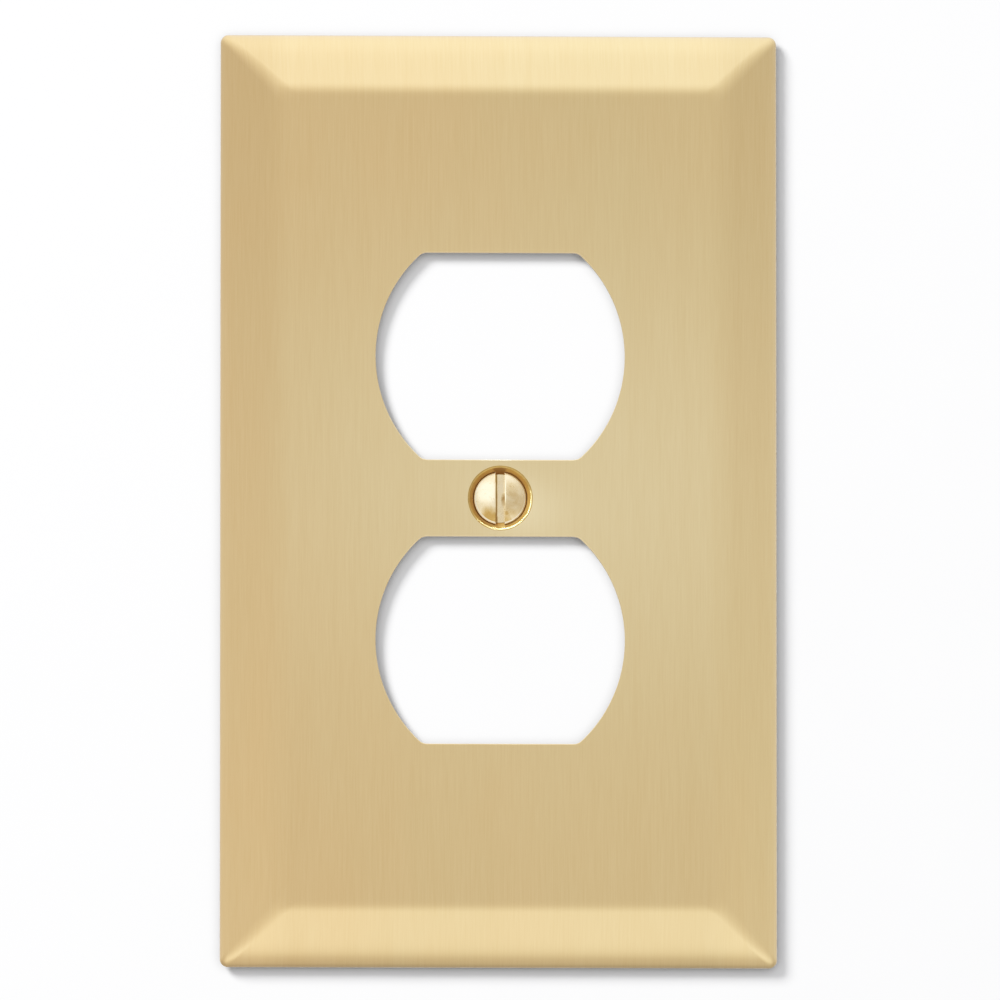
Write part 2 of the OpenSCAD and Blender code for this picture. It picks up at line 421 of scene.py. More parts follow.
def add_bevel(shell):
    """Inside skin, lip and outside skin. Gives the rings that bound the back and front flats."""
    length = [0.0]
    for (inset0, height0, _), (inset1, height1, _) in zip(OUTER[:-1], OUTER[1:]):
        length.append(length[-1] + math.hypot(inset1 - inset0, height1 - height0))
    stations = [(*station, length[-1] - done) for station, done in zip(OUTER, length)]
    rings = []
    for inset, height, slope, run in stations[::-1]:
        s, c = math.sin(slope), math.cos(slope)
        radius = max(CORNER_R + CORNER_GAIN * inset - SHEET * s, 0.15)
        normal = skin_normal(slope, -1)
        rings.append(
            add_ring(shell, inset + SHEET * s, height - SHEET * c, radius, normal, run)
        )
    # the lip is rounded on its inside and then on its outside
    lip_run = stations[0][3]
    for i in range(5):
        c, s = math.cos(QUARTER * i / 4), math.sin(QUARTER * i / 4)
        inset, height = SHEET - LIP_ROUND + LIP_ROUND * c, LIP_ROUND - LIP_ROUND * s
        radius = 0.16 + 0.2 * (SHEET - inset)
        normal = lambda nx, nz: (-c, -s)
        rings.append(add_ring(shell, inset, height, radius, normal, lip_run + 0.2 + 0.1 * i))
    back_strips = len(rings)
    for i in range(5):
        c, s = math.cos(QUARTER * i / 4), math.sin(QUARTER * i / 4)
        inset, height = LIP_ROUND - LIP_ROUND * s, LIP_ROUND - LIP_ROUND * c
        normal = lambda nx, nz: (s, -c)
        run = lip_run + 0.4 - 0.1 * i
        rings.append(add_ring(shell, inset, height, CORNER_R - inset, normal, run))
    for inset, height, slope, run in stations:
        radius = CORNER_R + CORNER_GAIN * inset
        rings.append(add_ring(shell, inset, height, radius, skin_normal(slope, 1), run))
    for i, (ring, following) in enumerate(zip(rings[:-1], rings[1:])):
        shell.strip(ring, following, BACK_SLOT if i < back_strips else FACE_SLOT)
    return rings[0], rings[-1]


def add_flat(shell, ring, height, forward, setback, seat_radius, slot):
    """The flat between a ring and the holes; forward is 1 on the front and -1 on the back.

    Gives (loop, edge, centre z) for each opening, and the loop and angles round the seat.
    """

    def vertex(x, z):
        return shell.vertex((x, -height, z), (0, -forward, 0), (x, z))

    def places(loop):
        return [(shell.points[i][0], shell.points[i][2]) for i in loop]

    def close_in(cell, hole, shares):
        """Loops from a cell's edge in to its hole."""
        previous = cell
        for share in shares:
            current = [
                vertex(hx + (x - hx) * share, hz + (z - hz) * share)
                for (x, z), (hx, hz) in zip(places(cell), hole)
            ]
            shell.strip(previous, current, slot)
            previous = current
        return previous

    seam_up = [vertex(x, SEAM_Z) for x in SEAM_X]
    seam_down = [vertex(x, -SEAM_Z) for x in SEAM_X]
    left = len(ring) // 2
    left_up, left_down = left - SEAM_STEPS, left + SEAM_STEPS
    right_up, right_down = SEAM_STEPS, len(ring) - SEAM_STEPS
    upper = ring[right_up : left_up + 1] + seam_up
    lower = ring[left_down : right_down + 1] + seam_down[::-1]
    middle = ring[left_up : left_down + 1] + seam_down
    middle += ring[right_down:] + ring[: right_up + 1] + seam_up[::-1]

    openings = []
    for cell, centre in ((upper, PITCH / 2), (lower, -PITCH / 2)):
        angles = cell_angles(places(cell), centre, OPEN_JOINTS)
        edge = [opening_at(angle) for angle in angles]
        hole = [(x + nx * setback, centre + z + nz * setback) for x, z, nx, nz in edge]
        loop = close_in(cell, hole, (0.8, 0.6, 0.42, 0.27, 0.15, 0.06, 0.0))
        openings.append((loop, edge, centre))
    angles = cell_angles(places(middle), 0)
    hole = [(seat_radius * math.cos(a), seat_radius * math.sin(a)) for a in angles]
    shares = (0.75, 0.55, 0.4, 0.28, 0.19, 0.12, 0.07, 0.035, 0.012, 0.0)
    return openings, close_in(middle, hole, shares), angles


def add_opening_edge(shell, front_loop, back_loop, edge, centre):
    previous = front_loop
    for setback, height, inward, forward in opening_edge():
        drop = RISE - height
        current = [
            shell.vertex(
                (x + nx * setback, -height, centre + z + nz * setback),
                (-inward * nx, -forward, -inward * nz),
                (x - nx * drop, centre + z - nz * drop),
            )
            for x, z, nx, nz in edge
        ]
        shell.strip(previous, current, FACE_SLOT)
        previous = current
    shell.strip(previous, back_loop, FACE_SLOT)


def add_seat(shell, front_loop, back_loop, angles):
    """The countersink and its boss, turned about the screw axis."""
    rows, countersink = seat_section()
    previous = front_loop
    developed = SEAT_EDGE  # radius at which the sheet coordinates lie
    last = (SEAT_EDGE, 0.0)
    for j, (radius, depth, outward, forward) in enumerate(rows):
        developed = max(developed - math.hypot(radius - last[0], depth - last[1]), 0.5)
        last = (radius, depth)
        current = []
        for angle in angles:
            c, s = math.cos(angle), math.sin(angle)
            point = (radius * c, -RISE + depth, radius * s)
            normal = (outward * c, -forward, outward * s)
            current.append(shell.vertex(point, normal, (developed * c, developed * s)))
        shell.strip(previous, current, SEAT_SLOT if j < countersink else BACK_SLOT)
        previous = current
    shell.strip(previous, back_loop, BACK_SLOT)


def draw_in(shell):
    """Sinks the sheet a little all round the seat."""
    for i, (x, y, z) in enumerate(shell.points):
        r = math.hypot(x, z)
        if r > SINK_END or -y < RISE - 3.2:
            continue
        fade = math.exp(-(r - SEAT_EDGE) / SINK_REACH) if r > SEAT_EDGE else 1.0
        shell.points[i] = (x, y + SINK * fade, z)
        nx, ny, nz = shell.normals[i]
        if r > SEAT_EDGE + 0.01 and abs(ny) > 0.99:
            slope = -SINK / SINK_REACH * fade
            shell.normals[i] = (nx - ny * slope * x / r, ny, nz - ny * slope * z / r)


def make_faceplate(materials):
    shell = Shell()
    back_ring, front_ring = add_bevel(shell)
    openings, seat_loop, angles = add_flat(
        shell, front_ring, RISE, 1, EDGE_ROLL, SEAT_EDGE, FACE_SLOT
    )
    back_openings, back_seat_loop, _ = add_flat(
        shell, back_ring, RISE - SHEET, -1, EDGE_BREAK, SEAT_BACK_R, BACK_SLOT
    )
    for (loop, edge, centre), (back_loop, _, _) in zip(openings, back_openings):
        add_opening_edge(shell, loop, back_loop, edge, centre)
    add_seat(shell, seat_loop, back_seat_loop, angles)
    draw_in(shell)
    return shell.build("faceplate_pressing", materials)


# ---------------------------------------------------------------- screw


def thread_radius(angle, y):
    """Radius of the right-hand thread at an angle and a depth."""
    phase = (y / THREAD_PITCH - angle / (2 * math.pi)) % 1.0
    if phase < 0.125:  # crest
        h = 1.0
    elif phase < 0.4375:
        h = 1 - (phase - 0.125) / 0.3125
    elif phase < 0.6875:  # root
        h = 0.0
    else:
        h = (phase - 0.6875) / 0.3125
    h = smoothstep(h) * 0.35 + h * 0.65
    radius = ROOT_R + (MAJOR_R - ROOT_R) * h
    run_in = smoothstep(min(max(y / 0.45, 0), 1))
    radius = NECK_R + (radius - NECK_R) * run_in
    return min(radius, MAJOR_R - max(0.0, y - (TIP_Y - 0.5)))  # chamfered tip


def head_section():
    """Crown, land, countersunk cone and plain neck of the screw: radius and y."""
    rows = []
    tilt = math.asin(HEAD_R / CROWN_R)
    for i in range(1, 21):
        t = tilt * i / 20.3
        rows.append((CROWN_R * math.sin(t), TOP_Y + CROWN_R - CROWN_R * math.cos(t)))
    cone_y = EDGE_Y + LAND
    end = cone_y + (HEAD_R - NECK_R) / math.tan(SEAT_HALF)
    rows += [
        (HEAD_R - 0.030, EDGE_Y - 0.016),
        (HEAD_R - 0.010, EDGE_Y + 0.006),
        (HEAD_R, EDGE_Y + 0.045),
        (HEAD_R, cone_y - 0.03),
        (HEAD_R - 0.012, cone_y + 0.012),
    ]
    for q in (0.12, 0.25, 0.45, 0.65, 0.82, 0.93):
        rows.append((HEAD_R + (NECK_R - HEAD_R) * q, cone_y + (end - cone_y) * q))
    rows += [(NECK_R + 0.05, end - 0.02), (NECK_R + 0.012, end + 0.04), (NECK_R, end + 0.12)]
    rows += [(NECK_R, y) for y in np.linspace(end + 0.4, -0.05, 6)]
    return rows


def screw_blank(name):
    """The whole screw before its slot is cut."""
    angles = [2 * math.pi * i / TURNS for i in range(TURNS)]
    grid = [[row] * TURNS for row in head_section()]
    steps = int(round(TIP_Y / THREAD_PITCH * 22))
    for y in np.linspace(0.0, TIP_Y, steps + 1):
        grid.append([(thread_radius(a, y), y) for a in angles])
    for q in (0.82, 0.45):
        grid.append([(thread_radius(a, TIP_Y) * q, TIP_Y) for a in angles])
    points = [(0.0, TOP_Y, 0.0)]
    for row in grid:
        points += [(r * math.sin(a), y, r * math.cos(a)) for a, (r, y) in zip(angles, row)]
    points.append((0.0, TIP_Y, 0.0))
    faces = [(0, 1 + i, 1 + (i + 1) % TURNS) for i in range(TURNS)]
    for j in range(len(grid) - 1):
        a, b = 1 + j * TURNS, 1 + (j + 1) * TURNS
        for i in range(TURNS):
            k = (i + 1) % TURNS
            faces.append((a + i, b + i, b + k, a + k))
    a = 1 + (len(grid) - 1) * TURNS
    faces += [(a + i, len(points) - 1, a + (i + 1) % TURNS) for i in range(TURNS)]
    mesh = new_mesh(name, points, faces)
    turn_outward(mesh)
    return new_object(name, mesh)


def slot_cutter():
    """A bar along Z that cuts the driver slot and breaks its edges along the crown."""

    def crown_y(x, z):
        r = min(math.hypot(x, z), HEAD_R)
        return TOP_Y + CROWN_R - math.sqrt(CROWN_R**2 - r * r)

    points, faces = [], []
    wide = SLOT_HALF + SLOT_BREAK_X
    for z in np.linspace(-4.4, 4.4, 45):
        section = [
            (-SLOT_HALF, SLOT_FLOOR),
            (-SLOT_HALF, crown_y(SLOT_HALF, z) + SLOT_BREAK_Y),
            (-wide, crown_y(wide, z)),
            (-wide, TOP_Y - 1),
        ]
        section += [(-x, y) for x, y in section[::-1]]
        points += [(x, y, z) for x, y in section]
    last = len(points) - 8
    for a in range(0, last, 8):
        for i in range(8):
            j = (i + 1) % 8
            faces.append((a + i, a + j, a + 8 + j, a + 8 + i))
    faces.append(tuple(range(7, -1, -1)))
    faces.append(tuple(range(last, last + 8)))
    mesh = new_mesh("slot_cutter", points, faces)
    turn_outward(mesh)
    return new_object("slot_cutter", mesh)


def cut_slot(obj, name):
    """Replaces the screw's mesh by one with the slot cut and its stray vertices merged."""
    cutter = slot_cutter()
    boolean = obj.modifiers.new("slot", "BOOLEAN")
    boolean.object, boolean.operation, boolean.solver = cutter, "DIFFERENCE", "EXACT"
    depsgraph = bpy.context.evaluated_depsgraph_get()
    mesh = bpy.data.meshes.new_from_object(obj.evaluated_get(depsgraph))
    obj.modifiers.clear()
    obj.data = mesh
    bpy.data.objects.remove(cutter, do_unlink=True)
    mesh.name = name
    mesh.materials.clear()
    bm = bmesh.new()
    bm.from_mesh(mesh)
    bmesh.ops.remove_doubles(bm, verts=bm.verts, dist=1e-7)
    bmesh.ops.dissolve_degenerate(bm, edges=bm.edges, dist=1e-7)
    bm.to_mesh(mesh)
    bm.free()
    return mesh


def set_head_normals(mesh):
    """Exact normals on the crown, so that its reflections run clean up to the flat slot."""
    normals = [tuple(corner.vector) for corner in mesh.corner_normals]
    centre = Vector((0, TOP_Y + CROWN_R, 0)) * MM
    for face in mesh.polygons:
        c, normal = face.center / MM, face.normal
        wall = abs(abs(c.x) - SLOT_HALF) < 0.01 and abs(normal.x) > 0.9
        floor = abs(c.y - SLOT_FLOOR) < 0.01
        broken = abs(c.x) < SLOT_HALF + 0.15 and abs(normal.x) > 0.3
        if wall or floor or broken:
            for i in face.loop_indices:
                normals[i] = tuple(normal)
        elif c.y < EDGE_Y - 0.03 and math.hypot(c.x, c.z) < HEAD_R - 0.06:
            for i in face.loop_indices:
                point = mesh.vertices[mesh.loops[i].vertex_index].co
                normals[i] = tuple((point - centre).normalized())
    mesh.normals_split_custom_set(normals)


def make_screw(materials):
    name = "mounting_screw_turned"
    obj = screw_blank(name)
    mesh = cut_slot(obj, name)
    for mat in materials:
        mesh.materials.append(mat)
    mesh.polygons.foreach_set("use_smooth", [True] * len(mesh.polygons))
    mesh.polygons.foreach_set("material_index", [0] * len(mesh.polygons))
    mesh.set_sharp_from_angle(angle=math.radians(34))
    mesh.update()
    set_head_normals(mesh)
    return obj


# ---------------------------------------------------------------- washer


def washer_section():
    """Closed section of the washer: radius, y, outward, backward."""
    rows = []

    def arc(r, y, start, size):
        """A quarter turn of rounding about (r, y)."""
        for i in range(5):
            c, s = math.cos(start + QUARTER * i / 4), math.sin(start + QUARTER * i / 4)
            rows.append((r + size * c, y + size * s, c, s))

    rim, hole = WASHER_R - WASHER_ROUND, WASHER_HOLE_R + WASHER_HOLE_ROUND
    middle = (WASHER_R + WASHER_HOLE_R) / 2
    arc(rim, WASHER_FRONT + WASHER_ROUND, -QUARTER, WASHER_ROUND)
    arc(rim, WASHER_BACK - WASHER_ROUND, 0, WASHER_ROUND)
    rows.append((middle + 0.35, WASHER_BACK - 0.02, 0.05, 1))
    rows.append((middle - 0.2, WASHER_BACK - 0.05, 0.03, 1))
    arc(hole, WASHER_BACK - 0.11, QUARTER, WASHER_HOLE_ROUND)
    arc(hole, WASHER_FRONT + 0.11, math.pi, WASHER_HOLE_ROUND)
    rows.append((middle - 0.2, WASHER_FRONT + 0.05, 0.03, -1))
    rows.append((middle + 0.35, WASHER_FRONT + 0.02, 0.05, -1))
    return rows


def make_washer(materials):
    """A moulded washer with three reliefs round its hole, slightly dished."""
    shell = Shell()
    loops = []
    for r, y, outward, backward in washer_section():
        loop = []
        for i in range(TURNS):
            angle = 2 * math.pi * i / TURNS
            radius = r
            if r < WASHER_HOLE_R + 0.13:
                radius += 0.34 * smoothstep(max(0.0, math.cos(3 * angle) - 0.86) / 0.14)
            s, c = math.sin(angle), math.cos(angle)
            x, z = radius * s, radius * c
            loop.append(shell.vertex((x, y, z), (outward * s, backward, outward * c), (x, z)))
        loops.append(loop)
    for loop, following in zip(loops, loops[1:] + loops[:1]):
        shell.strip(loop, following)
    return shell.build("retaining_washer_moulded", materials)


# ---------------------------------------------------------------- materials
# Coordinates in the shaders are in metres.


class Graph:
    """A short way to write a node tree."""

    def __init__(self, tree):
        self.tree = tree
        tree.nodes.clear()

    def node(self, kind, props=None, slots=None, **inputs):
        """Adds a node; inputs go by name, or by number in slots."""
        node = self.tree.nodes.new(kind)
        for key, value in (props or {}).items():
            setattr(node, key, value)
        for key, value in (slots or {}).items():
            self.put(node.inputs[key], value)
        for key, value in inputs.items():
            self.put(node.inputs[key.replace("_", " ")], value)
        return node

    def put(self, socket, value):
        if isinstance(value, bpy.types.NodeSocket):
            self.tree.links.new(value, socket)
        elif isinstance(value, bpy.types.Node):
            self.tree.links.new(value.outputs[0], socket)
        else:
            socket.default_value = value

    def math(self, operation, a, b=0.0, clamp=False):
        props = {"operation": operation, "use_clamp": clamp}
        return self.node("ShaderNodeMath", props, {0: a, 1: b}).outputs[0]

    def add(self, a, b):
        return self.math("ADD", a, b)

    def subtract(self, a, b):
        return self.math("SUBTRACT", a, b)

    def multiply(self, a, b):
        return self.math("MULTIPLY", a, b)

    def weigh(self, a, a_share, b, b_share):
        return self.add(self.multiply(a, a_share), self.multiply(b, b_share))

    def squares(self, a, b):
        return self.add(self.multiply(a, a), self.multiply(b, b))

    def offset(self, value, centre, size):
        """Distance from a centre, in units of a size."""
        return self.math("DIVIDE", self.subtract(value, centre), size)

    def vector_math(self, operation, slots):
        return self.node("ShaderNodeVectorMath", {"operation": operation}, slots)

    def mix(self, factor, low, high):
        slots = {0: factor, 6: low, 7: high}
        return self.node("ShaderNodeMix", {"data_type": "RGBA"}, slots).outputs[2]

    def ramp(self, value, start, end, low=0.0, high=1.0):
        """Runs from low at start to high at end."""
        slots = {0: value, 1: start, 2: end, 3: low, 4: high}
        return self.node("ShaderNodeMapRange", slots=slots).outputs[0]

    def raw_noise(self, vector, detail=2.0, roughness=0.5, distortion=0.0):
        return self.node(
            "ShaderNodeTexNoise", Vector=vector, Scale=1.0,
            Detail=detail, Roughness=roughness, Distortion=distortion,
        ).outputs[0]

    def noise(self, vector, scale, location=(0, 0, 0), **settings):
        """Noise whose scale along each axis is in features per metre."""
        mapped = self.node("ShaderNodeMapping", Vector=vector, Scale=scale, Location=location)
        return self.raw_noise(mapped, **settings)

    def rings(self, radius, y, radial, axial):
        """Fine rings about the screw axis."""
        slots = {0: self.multiply(radius, radial), 1: self.multiply(y, axial)}
        return self.raw_noise(self.node("ShaderNodeCombineXYZ", slots=slots), roughness=0.6)

    def sheet(self):
        return self.node("ShaderNodeUVMap", {"uv_map": "sheet"}).outputs[0]

    def position(self):
        return self.node("ShaderNodeTexCoord").outputs["Object"]

    def split(self, vector):
        return self.node("ShaderNodeSeparateXYZ", Vector=vector).outputs

    def bump(self, strength, depth, height):
        node = self.node("ShaderNodeBump", Strength=strength, Distance=depth, Height=height)
        return node.outputs[0]

    def principled(self, **inputs):
        surface = self.node("ShaderNodeBsdfPrincipled", **inputs)
        self.node("ShaderNodeOutputMaterial", Surface=surface)


def material(name, display):
    mat = bpy.data.materials.new(name)
    mat.use_nodes = True
    mat.diffuse_color = (*display, 1)
    return mat, Graph(mat.node_tree)


def satin_brass():
    """Lacquered brass with brush lines that run up and down the sheet."""
    mat, g = material("satin_brass_brushed", display=(0.62, 0.47, 0.24))
    uv = g.sheet()
    fine = g.noise(uv, (8200, 190, 1), detail=3.0, roughness=0.6)
    mid = g.noise(uv, (2900, 80, 1), (3.1, 1.7, 0), roughness=0.55)
    broad = g.noise(uv, (420, 14, 1), (7.7, 2.3, 0))
    streak = g.add(g.multiply(fine, 0.50), g.weigh(mid, 0.33, broad, 0.17))
    # slow drift of tone in the lacquer, warm at the left and cooler to the right
    cloud = g.noise(uv, (42, 26, 1), (1.9, 5.2, 0), detail=3.0, roughness=0.55, distortion=0.4)
    across, up, _ = g.split(uv)
    warm, cool = (0.824, 0.610, 0.352, 1), (0.790, 0.626, 0.370, 1)
    rightward = g.multiply(g.ramp(across, -0.034, 0.012), 0.65)
    drift = g.math("ADD", rightward, g.ramp(cloud, 0.34, 0.66, high=0.35), clamp=True)
    tone = g.mix(drift, warm, cool)
    # painted light: a soft pool of paler colour across the middle of the plate, right of the
    # screw
    sides = g.ramp(g.math("ABSOLUTE", across), 0.0285, 0.0325)
    spread = g.squares(
        g.offset(across, centre=0.012, size=0.052), g.offset(up, centre=0.003, size=0.032)
    )
    pale = g.math("POWER", 2.718, g.multiply(spread, -1.0))
    pale = g.multiply(pale, g.subtract(0.92, g.multiply(sides, 0.48)))
    # painted light: the tone is blended towards a pale brass where the pool falls
    tone = g.mix(pale, tone, (0.900, 0.745, 0.475, 1))
    # painted shade: the tone deepens towards the top of the side bevels
    painted_top_shade = g.multiply(g.add(g.multiply(sides, 0.85), 0.15), g.multiply(up, -1.15))
    tone = g.vector_math("SCALE", {0: tone, 3: g.add(1.0, painted_top_shade)}).outputs[0]
    dark = g.vector_math("MULTIPLY", {0: tone, 1: (0.964, 0.950, 0.925)}).outputs[0]
    tangent = {"direction_type": "UV_MAP", "uv_map": "sheet"}
    g.principled(
        Base_Color=g.mix(g.ramp(streak, 0.40, 0.62), dark, tone),
        Metallic=1.0,
        Roughness=g.ramp(streak, 0.35, 0.65, low=0.375, high=0.325),
        Anisotropic=0.55,
        Normal=g.bump(strength=0.16, depth=0.000010, height=g.weigh(fine, 0.55, mid, 0.45)),
        Tangent=g.node("ShaderNodeTangent", tangent),
        Coat_Weight=0.22,
        Coat_Roughness=0.22,
        Coat_IOR=1.45,
    )
    return mat


def seat_brass():
    """The countersink, burnished: smoother than the face and deeper in colour, with painted shade
    darkening it further down.
    """
    mat, g = material("burnished_seat", display=(0.6, 0.42, 0.18))
    position = g.position()
    x, y, z = g.split(position)
    radius = g.math("SQRT", g.squares(x, z))
    rings = g.rings(radius, y, radial=12000, axial=9000)
    smear = g.noise(
        position, (700, 700, 700), (3.0, 2.0, 1.0), detail=3.0, roughness=0.6, distortion=0.4
    )
    # painted shade: darker further down into the countersink
    painted_recess_shade = g.ramp(y, -0.0058, -0.0050)
    cone = g.ramp(radius, 0.00396, 0.00414, low=1.0, high=0.0)
    light, lighter = (0.53, 0.365, 0.145, 1), (0.59, 0.415, 0.180, 1)
    tone = g.mix(g.ramp(smear, 0.38, 0.66), light, lighter)
    rough = g.ramp(g.weigh(rings, 0.5, smear, 0.5), 0.35, 0.65, low=0.25, high=0.31)
    g.principled(
        Base_Color=g.mix(painted_recess_shade, tone, (0.46, 0.285, 0.100, 1)),
        Metallic=1.0,
        Roughness=g.add(rough, g.multiply(cone, 0.10)),
        Normal=g.bump(strength=0.15, depth=0.000006, height=rings),
        Coat_Weight=0.15,
        Coat_Roughness=0.15,
    )
    return mat


def dull_brass():
    """The back of the sheet: stained, spotted and faintly lined."""
    mat, g = material("back_of_sheet", display=(0.45, 0.36, 0.2))
    uv = g.sheet()
    lines = g.noise(uv, (3200, 160, 1), detail=3.0, roughness=0.6)
    stain = g.noise(uv, (95, 80, 1), (4.0, 1.0, 0), detail=4.0, roughness=0.62, distortion=0.7)
    spots = g.noise(uv, (900, 900, 1), (2.0, 9.0, 0))
    stained, clean = (0.565, 0.412, 0.206, 1), (0.645, 0.480, 0.252, 1)
    tone = g.mix(g.ramp(stain, 0.36, 0.66), stained, clean)
    wear = g.weigh(stain, 0.6, lines, 0.4)
    relief = g.add(lines, g.multiply(stain, 0.8))
    g.principled(
        Base_Color=g.mix(g.ramp(spots, 0.64, 0.75, high=0.35), tone, (0.26, 0.17, 0.08, 1)),
        Metallic=1.0,
        Roughness=g.ramp(wear, 0.35, 0.65, low=0.36, high=0.52),
        Normal=g.bump(strength=0.35, depth=0.00002, height=relief),
        Anisotropic=0.2,
    )
    return mat


# Darker patches on the crown, millimetres: x, z, size, strength
CROWN_DARK_PATCHES = (
    (-1.2, -2.5, 1.5, 0.95), (-0.85, -2.2, 0.7, 1.0), (0.85, -2.1, 0.5, 0.95),
    (0.8, -2.9, 1.3, 0.75), (1.9, -1.3, 2.4, 0.55), (1.9, 1.7, 1.9, 0.18),
)


def bright_brass():
    """Polished turned brass, darker in patches on the crown, with a painted pale highlight round
    its rim and painted shade in the slot.
    """
    mat, g = material("bright_brass_turned", display=(0.8, 0.66, 0.4))
    position = g.position()
    x, y, z = g.split(position)
    radius = g.math("SQRT", g.squares(x, z))
    rings = g.rings(radius, y, radial=9000, axial=5000)
    smear = g.noise(
        position, (420, 420, 420), (0.4, 0.2, 0.9), detail=3.0, roughness=0.6, distortion=0.5
    )
    pits = g.noise(position, (2600, 2600, 2600))
    tone = g.mix(g.ramp(smear, 0.40, 0.66), (0.88, 0.71, 0.46, 1), (0.92, 0.77, 0.53, 1))

    def patch(patch_x, patch_z, size, strength, tall=1.0):
        """A ragged spot, tall times as high as it is wide."""
        distance = g.squares(
            g.offset(x, patch_x * MM, size * MM), g.offset(z, patch_z * MM, size * tall * MM)
        )
        ragged = g.add(distance, g.multiply(g.subtract(smear, 0.5), 2.2))
        return g.math("MULTIPLY", g.ramp(ragged, 1.0, 0.0), strength, clamp=True)

    # the crown is darker in patches, most of all low down beside the slot
    crown_darkening = patch(*CROWN_DARK_PATCHES[0])
    for entry in CROWN_DARK_PATCHES[1:]:
        crown_darkening = g.math("MAXIMUM", crown_darkening, patch(*entry))
    top = g.ramp(y, -0.0055, -0.0050, low=1.0, high=0.0)
    # the rim is kept clear of the darker patches
    rim = g.ramp(radius, 0.00328, 0.00340)
    crown_darkening = g.multiply(crown_darkening, g.subtract(1.0, g.multiply(rim, 0.85)))
    tone = g.mix(g.multiply(crown_darkening, top), tone, (0.50, 0.33, 0.12, 1))
    # painted highlight: a pale cream band round the rim of the crown
    tone = g.mix(g.multiply(rim, g.multiply(top, 0.8)), tone, (0.97, 0.89, 0.74, 1))
    # painted shade lies in the slot along its left wall, and a dark smear on its floor
    floor = g.multiply(g.ramp(y, -0.00605, -0.00590), g.ramp(radius, 0.00345, 0.00320))
    floor = g.multiply(floor, g.ramp(y, -0.00460, -0.00440, low=1.0, high=0.0))
    edge = g.add(x, g.multiply(g.subtract(smear, 0.5), 0.00025))
    slot_shade_and_smear = g.multiply(
        g.ramp(edge, -0.00042, -0.00029, low=1.0, high=0.0),
        g.ramp(g.math("ABSOLUTE", x), 0.00070, 0.00064),
    )
    slot_shade_and_smear = g.math("MAXIMUM", slot_shade_and_smear, patch(0.48, -0.15, size=0.42, strength=0.75, tall=2.6))
    tone = g.mix(g.multiply(slot_shade_and_smear, floor), tone, (0.42, 0.27, 0.10, 1))
    relief = g.add(rings, g.multiply(smear, 2.0))
    g.principled(
        Base_Color=g.mix(g.ramp(pits, 0.62, 0.74, high=0.4), tone, (0.50, 0.34, 0.14, 1)),
        Metallic=1.0,
        Roughness=g.ramp(g.weigh(smear, 0.6, rings, 0.4), 0.35, 0.65, low=0.30, high=0.22),
        Normal=g.bump(strength=0.12, depth=0.000006, height=relief),
        Coat_Weight=0.3,
        Coat_Roughness=0.08,
    )
    return mat


def nylon():
    mat, g = material("natural_nylon", display=(0.85, 0.82, 0.74))
    position = g.position()
    grain = g.noise(position, (3000, 3000, 3000), detail=3.0, roughness=0.6)
    cloud = g.noise(position, (500, 500, 500))
    dark, pale = (0.80, 0.76, 0.66, 1), (0.88, 0.85, 0.77, 1)
    g.principled(
        Base_Color=g.mix(g.ramp(cloud, 0.35, 0.65), dark, pale),
        Roughness=g.ramp(grain, 0.3, 0.7, low=0.38, high=0.52),
        Normal=g.bump(strength=0.3, depth=0.00001, height=grain),
        Subsurface_Weight=0.25,
        Subsurface_Radius=(0.0009, 0.0008, 0.0006),
        Subsurface_Scale=1.0,
        IOR=1.53,
    )
    return mat


def backdrop_white():
    """Matt white that shows only from the front, and not edge-on."""
    mat, g = material("backdrop_white", display=(0.9, 0.9, 0.9))
    mottle = g.noise(g.position(), (60, 60, 60))
    low, high = (0.915, 0.915, 0.920, 1), (0.925, 0.925, 0.930, 1)
    colour = g.mix(g.ramp(mottle, 0.3, 0.7), low, high)
    face = g.node("ShaderNodeBsdfDiffuse", Color=colour, Roughness=0.0)
    clear = g.node("ShaderNodeBsdfTransparent")
    geometry = g.node("ShaderNodeNewGeometry").outputs
    vectors = {0: geometry["Incoming"], 1: geometry["Normal"]}
    square = g.vector_math("DOT_PRODUCT", vectors).outputs["Value"]
    edge_on = g.ramp(g.math("ABSOLUTE", square), 0.05, 0.12, low=1.0, high=0.0)
    gone = g.math("MAXIMUM", geometry["Backfacing"], edge_on)
    mixed = g.node("ShaderNodeMixShader", slots={0: gone, 1: face, 2: clear})
    g.node("ShaderNodeOutputMaterial", Surface=mixed)
    return mat


# ---------------------------------------------------------------- the pieces

SATIN, BACK, SEAT, BRIGHT, NYLON = (
    satin_brass(), dull_brass(), seat_brass(), bright_brass(), nylon()
)

plate = make_faceplate([SATIN, BACK, SEAT])
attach(plate, "plate")
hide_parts("faceplate")

screw = make_screw([BRIGHT])
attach(screw, "screw")
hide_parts("mounting_screw")

washer = make_washer([NYLON])
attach(washer, "washer")
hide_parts("retaining_washer")


# ---------------------------------------------------------------- backdrop

WALL_HALF, WALL_Y = 420, 1.5
PAD_MARGIN, PAD_Y, PAD_INNER_Z = 3.6, -3.75, 3.75


